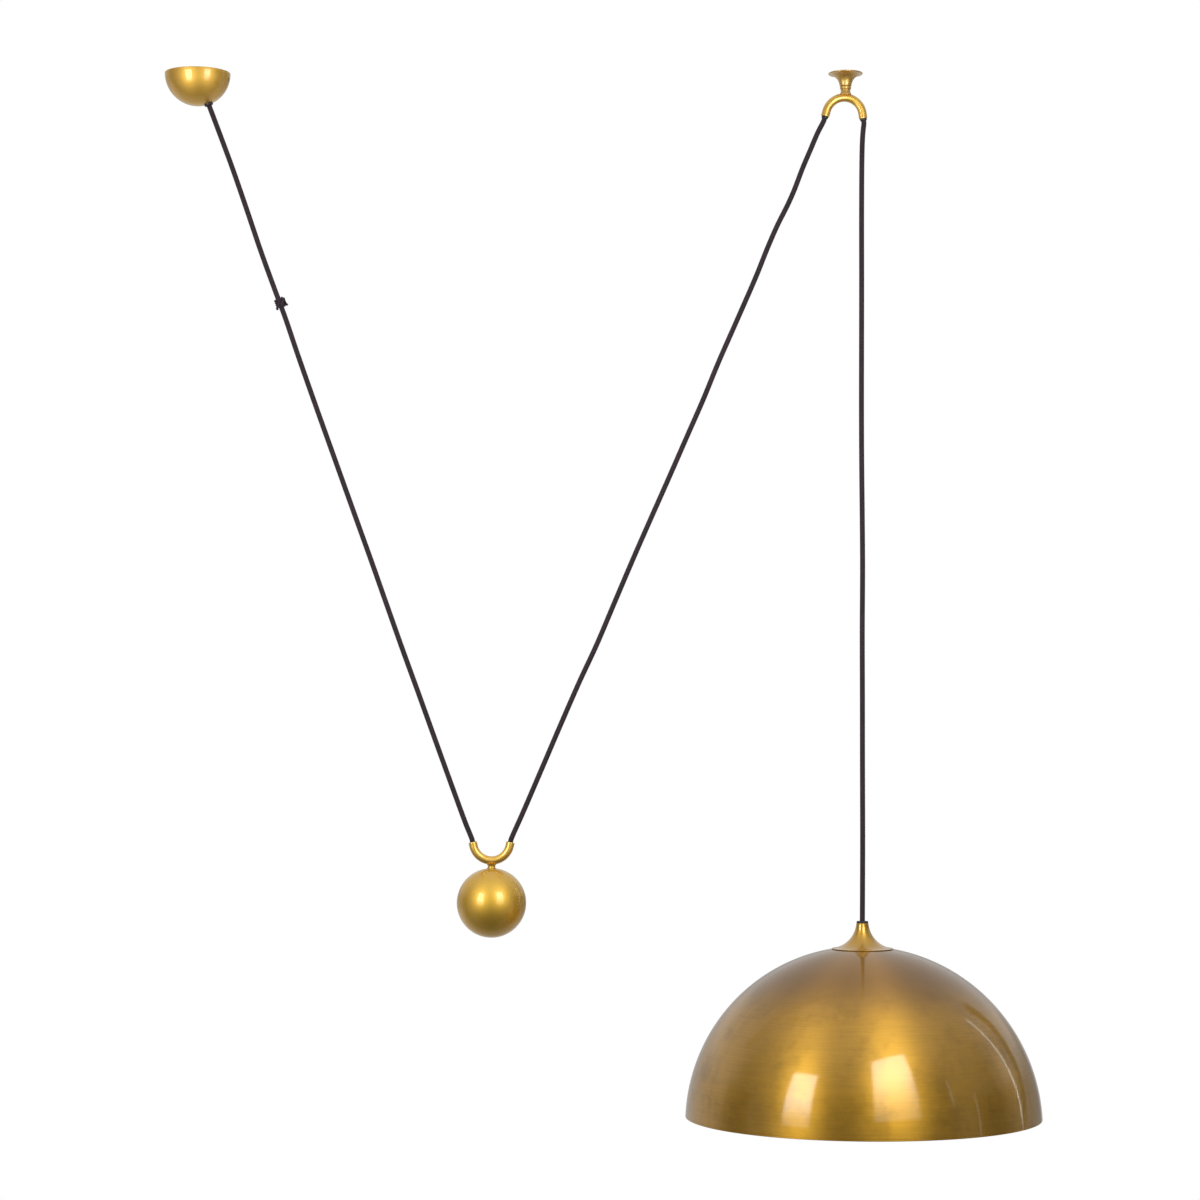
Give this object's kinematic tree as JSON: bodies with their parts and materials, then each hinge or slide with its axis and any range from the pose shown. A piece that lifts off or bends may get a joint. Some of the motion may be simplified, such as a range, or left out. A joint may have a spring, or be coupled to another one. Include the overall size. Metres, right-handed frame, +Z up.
{
  "type": "rise and fall pendant",
  "caption": "Spun brass dome pendant hung from a ceiling hook on a textile cord that runs on through a ball counterweight to a small canopy.",
  "frame": {"origin": "middle of the canopy's rim, on the ceiling, at the centre of its two ceiling screw holes", "axes": "+Z up, +X along the ceiling from the canopy to the hook, +Y away from the picture's camera"},
  "size_m": [1.0908, 0.4396, 1.301],
  "materials": {
    "spun_brass": "spun, satin lacquer, fine turning lines",
    "polished_brass": "polished and lacquered",
    "holder_brass": "turned and lacquered",
    "contact_brass": "plain",
    "dark_brass": "aged",
    "zinc_steel": "zinc plated",
    "black_plastic": "black",
    "black_rubber": "matte",
    "white_plastic": "off-white",
    "white_ceramic": "glazed ceramic",
    "cord_textile": "braided textile, black with a purple-brown tint",
    "core_brown": "insulation",
    "core_blue": "insulation",
    "core_green": "insulation"
  },
  "bodies": {
    "ceiling": {"canopy": "spun_brass", "ceiling_strap": "zinc_steel", "side_screws": "dark_brass", "canopy_bush": "black_plastic", "canopy_bush_nut": "black_plastic", "canopy_cord_tie": "white_plastic", "canopy_cord_tail": "cord_textile", "terminal_block": "white_plastic", "terminal_tubes": "contact_brass", "terminal_screws": "zinc_steel", "block_screw": "zinc_steel", "strap_earth_screw": "contact_brass", "canopy_live_core": "core_brown", "canopy_neutral_core": "core_blue", "canopy_earth_core": "core_green", "hook_trumpet": "spun_brass", "hook_stem": "spun_brass", "hook_tube": "polished_brass", "hook_liner": "black_plastic", "cord_in_hook": "cord_textile", "cord_left_run": "cord_textile", "cord_knot": "cord_textile", "cord_right_run": "cord_textile", "cord_drop_run": "cord_textile"},
    "counterweight": {"counterweight_tube": "polished_brass", "counterweight_liner": "black_plastic", "cord_in_counterweight": "cord_textile", "counterweight_stud": "spun_brass", "counterweight_ball": "spun_brass"},
    "lamp": {"shade": "spun_brass", "shade_cap": "spun_brass", "cord_grip": "black_plastic", "grip_seal": "black_rubber", "nipple": "zinc_steel", "lock_nut": "zinc_steel", "upper_washer": "zinc_steel", "lower_washer": "zinc_steel", "lamp_cord_tail": "cord_textile", "holder_cap": "holder_brass", "holder_skirt": "holder_brass", "holder_insert": "white_ceramic", "socket_shell": "contact_brass", "centre_contact": "contact_brass", "holder_terminals": "contact_brass", "holder_terminal_screws": "zinc_steel", "holder_earth_screw": "zinc_steel", "lamp_live_core": "core_brown", "lamp_neutral_core": "core_blue", "lamp_earth_core": "core_green"}
  },
  "joints": [
    {"name": "lamp_height", "type": "slide", "parent": "ceiling", "child": "lamp", "axis": [0, 0, 1], "range_m": [-0.6, 0.55], "deforming": ["cord_drop_run"]},
    {"name": "counterweight_height", "type": "slide", "parent": "ceiling", "child": "counterweight", "axis": [0, 0, 1], "range_m": [-0.3, 0.33], "deforming": ["cord_left_run", "cord_knot", "cord_right_run"]}
  ],
  "couplings": [
    {"joint": "counterweight_height", "follows": "lamp_height", "ratio": -0.54}
  ]
}
